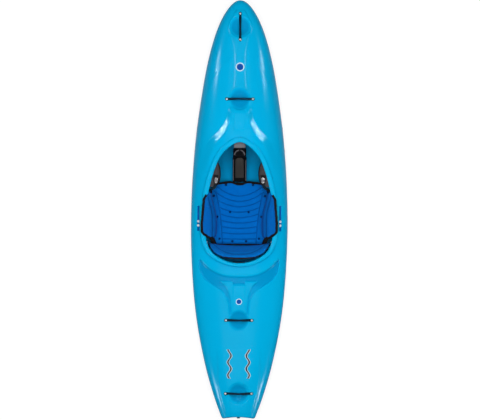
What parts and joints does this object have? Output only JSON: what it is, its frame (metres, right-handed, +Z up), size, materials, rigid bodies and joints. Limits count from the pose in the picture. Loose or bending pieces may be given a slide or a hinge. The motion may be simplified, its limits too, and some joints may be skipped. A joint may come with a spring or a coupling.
{
  "type": "whitewater kayak",
  "caption": "Short rockered whitewater kayak with a moulded hull, raised cockpit rim, padded seat, back band, thigh braces, sliding foot brace, grab loops and a drain plug.",
  "frame": {"origin": "middle of the hull's length and beam, on the plane that the flat bottom rests on", "axes": "+Y towards the bow, +X to the paddler's right, +Z up through the deck"},
  "size_m": [0.639, 2.745, 0.3673],
  "materials": {
    "hull_polyethylene": "satin gloss",
    "black_plastic": "moulded matt",
    "grey_plastic": "moulded matt",
    "seat_foam": "fabric over foam",
    "band_fabric": "fabric over foam",
    "black_foam": "closed-cell foam",
    "grey_foam": "closed-cell foam",
    "webbing": "woven webbing",
    "loop_webbing": "stiff coated webbing",
    "steel": "stainless",
    "aluminium": "anodised",
    "plug_rubber": "matt"
  },
  "bodies": {
    "boat": {"hull_shell": "hull_polyethylene", "bow_grab_loop": "loop_webbing", "fore_grab_loop": "loop_webbing", "rear_grab_loop": "loop_webbing", "stern_grab_loop": "loop_webbing", "seat_pan": "black_plastic", "seat_pad": "seat_foam", "center_console": "grey_plastic", "console_pad": "black_foam", "pillar_bracket": "black_plastic", "front_pillar": "grey_foam", "rear_pillar": "black_foam", "left_seat_bracket": "aluminium", "left_hip_pad": "seat_foam", "left_band_strap": "webbing", "left_thigh_brace": "grey_plastic", "left_thigh_pad": "black_foam", "left_ratchet_base": "black_plastic", "left_foot_track": "aluminium", "right_seat_bracket": "aluminium", "right_hip_pad": "seat_foam", "right_band_strap": "webbing", "right_thigh_brace": "grey_plastic", "right_thigh_pad": "black_foam", "right_ratchet_base": "black_plastic", "right_foot_track": "aluminium", "bow_loop_rear_bolt": "steel", "bow_loop_front_bolt": "steel", "fore_loop_left_bolt": "steel", "fore_loop_right_bolt": "steel", "rear_loop_left_bolt": "steel", "rear_loop_right_bolt": "steel", "stern_loop_left_bolt": "steel", "stern_loop_right_bolt": "steel", "left_seat_bolt_front": "steel", "left_seat_bolt_rear": "steel", "right_seat_bolt_front": "steel", "right_seat_bolt_rear": "steel", "left_brace_bolt": "steel", "right_brace_bolt": "steel", "left_track_bolt_rear": "steel", "left_track_bolt_front": "steel", "right_track_bolt_rear": "steel", "right_track_bolt_front": "steel", "left_band_pivot_bolt": "steel", "right_band_pivot_bolt": "steel"},
    "foot_brace": {"foot_bulkhead": "aluminium", "foot_pad": "black_foam", "left_foot_arm": "aluminium", "right_foot_arm": "aluminium"},
    "back_band": {"back_band_core": "black_plastic", "back_band_pad": "band_fabric"},
    "left_lever": {"left_ratchet_lever": "aluminium"},
    "right_lever": {"right_ratchet_lever": "aluminium"},
    "gasket": {"plug_gasket": "plug_rubber"},
    "plug": {"drain_plug": "black_plastic"}
  },
  "joints": [
    {"name": "foot_brace_slide", "type": "slide", "parent": "boat", "child": "foot_brace", "axis": [0, 1, 0], "range_m": [-0.06, 0.06]},
    {"name": "back_band_tilt", "type": "hinge", "parent": "boat", "child": "back_band", "pos_m": [0, -0.213, 0.142], "axis": [1, 0, 0], "range_deg": [-20, 2]},
    {"name": "left_ratchet_lift", "type": "hinge", "parent": "boat", "child": "left_lever", "pos_m": [-0.152, 0.2155, 0.2938], "axis": [-1, 0, 0], "range_deg": [0, 55]},
    {"name": "right_ratchet_lift", "type": "hinge", "parent": "boat", "child": "right_lever", "pos_m": [0.152, 0.2155, 0.2938], "axis": [-1, 0, 0], "range_deg": [0, 55]},
    {"name": "drain_plug_travel", "type": "slide", "parent": "boat", "child": "gasket", "axis": [0, -1, 0], "range_m": [0, 0.0202]},
    {"name": "drain_plug_turn", "type": "hinge", "parent": "gasket", "child": "plug", "pos_m": [0, -1.3605, 0.2112], "axis": [0, -1, 0], "range_deg": [0, 1440]}
  ],
  "couplings": [
    {"joint": "drain_plug_travel", "follows": "drain_plug_turn", "m_per_rad": 0.00079577}
  ]
}
